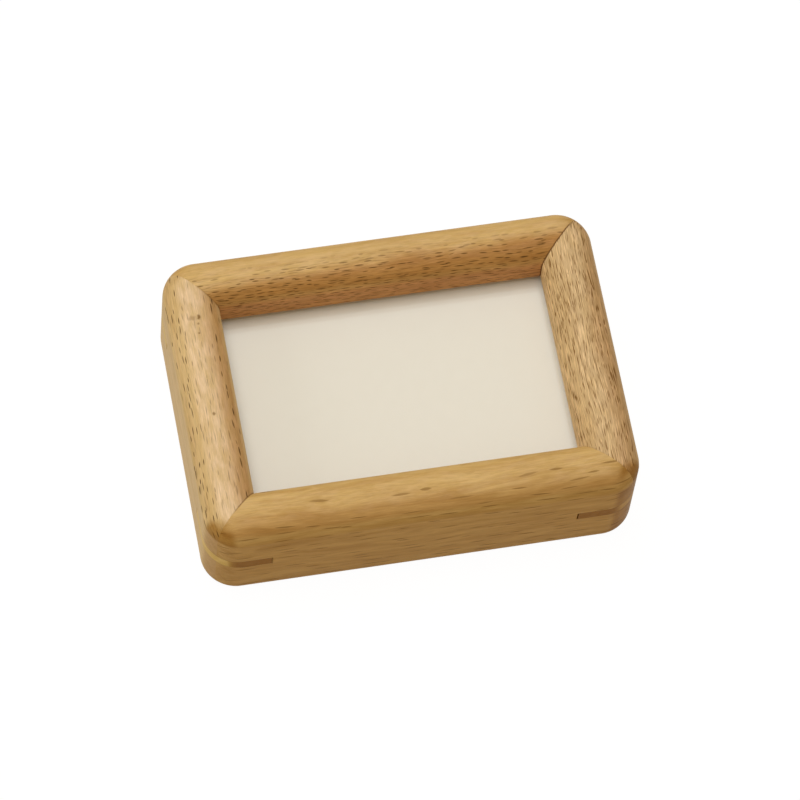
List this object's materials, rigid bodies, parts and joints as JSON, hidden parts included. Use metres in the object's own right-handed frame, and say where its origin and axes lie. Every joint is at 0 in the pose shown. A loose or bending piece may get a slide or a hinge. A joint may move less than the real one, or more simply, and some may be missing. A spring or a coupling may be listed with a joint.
{
  "type": "photo frame",
  "caption": "Small deep photo frame of rounded beech rails with splined mitre corners, a clear acrylic front, a picture card and a backing board held in by swivel clips.",
  "frame": {"origin": "middle of the back face, on the surface the frame lies on", "axes": "+Z is the way the picture faces, +X along the long side to the picture's right, +Y along the short side to the picture's top"},
  "size_m": [0.105, 0.075, 0.03],
  "materials": {
    "beech": "oiled satin, fine ray flecks along the grain",
    "spline_wood": "oiled, sanded flush",
    "acrylic": "clear, polished",
    "card": "matt cream",
    "fibreboard": "smooth brown hardboard",
    "plated_steel": "bright zinc plating"
  },
  "bodies": {
    "frame": {"rail_bottom": "beech", "rail_right": "beech", "rail_top": "beech", "rail_left": "beech", "corner_spline_bottom_left": "spline_wood", "corner_spline_bottom_right": "spline_wood", "corner_spline_top_right": "spline_wood", "corner_spline_top_left": "spline_wood", "acrylic_sheet": "acrylic", "picture_card": "card", "backing_board": "fibreboard", "clip_rivet_bottom": "plated_steel", "clip_rivet_right": "plated_steel", "clip_rivet_top": "plated_steel", "clip_rivet_left": "plated_steel"},
    "clip_bottom": {"swivel_clip_bottom": "plated_steel"},
    "clip_right": {"swivel_clip_right": "plated_steel"},
    "clip_top": {"swivel_clip_top": "plated_steel"},
    "clip_left": {"swivel_clip_left": "plated_steel"}
  },
  "joints": [
    {"name": "clip_bottom_turn", "type": "hinge", "parent": "frame", "child": "clip_bottom", "pos_m": [0, -0.0215, 0.0136], "axis": [0, 0, 1], "continuous": true},
    {"name": "clip_right_turn", "type": "hinge", "parent": "frame", "child": "clip_right", "pos_m": [0.0365, 0, 0.0136], "axis": [0, 0, 1], "continuous": true},
    {"name": "clip_top_turn", "type": "hinge", "parent": "frame", "child": "clip_top", "pos_m": [0, 0.0215, 0.0136], "axis": [0, 0, 1], "continuous": true},
    {"name": "clip_left_turn", "type": "hinge", "parent": "frame", "child": "clip_left", "pos_m": [-0.0365, 0, 0.0136], "axis": [0, 0, 1], "continuous": true}
  ]
}
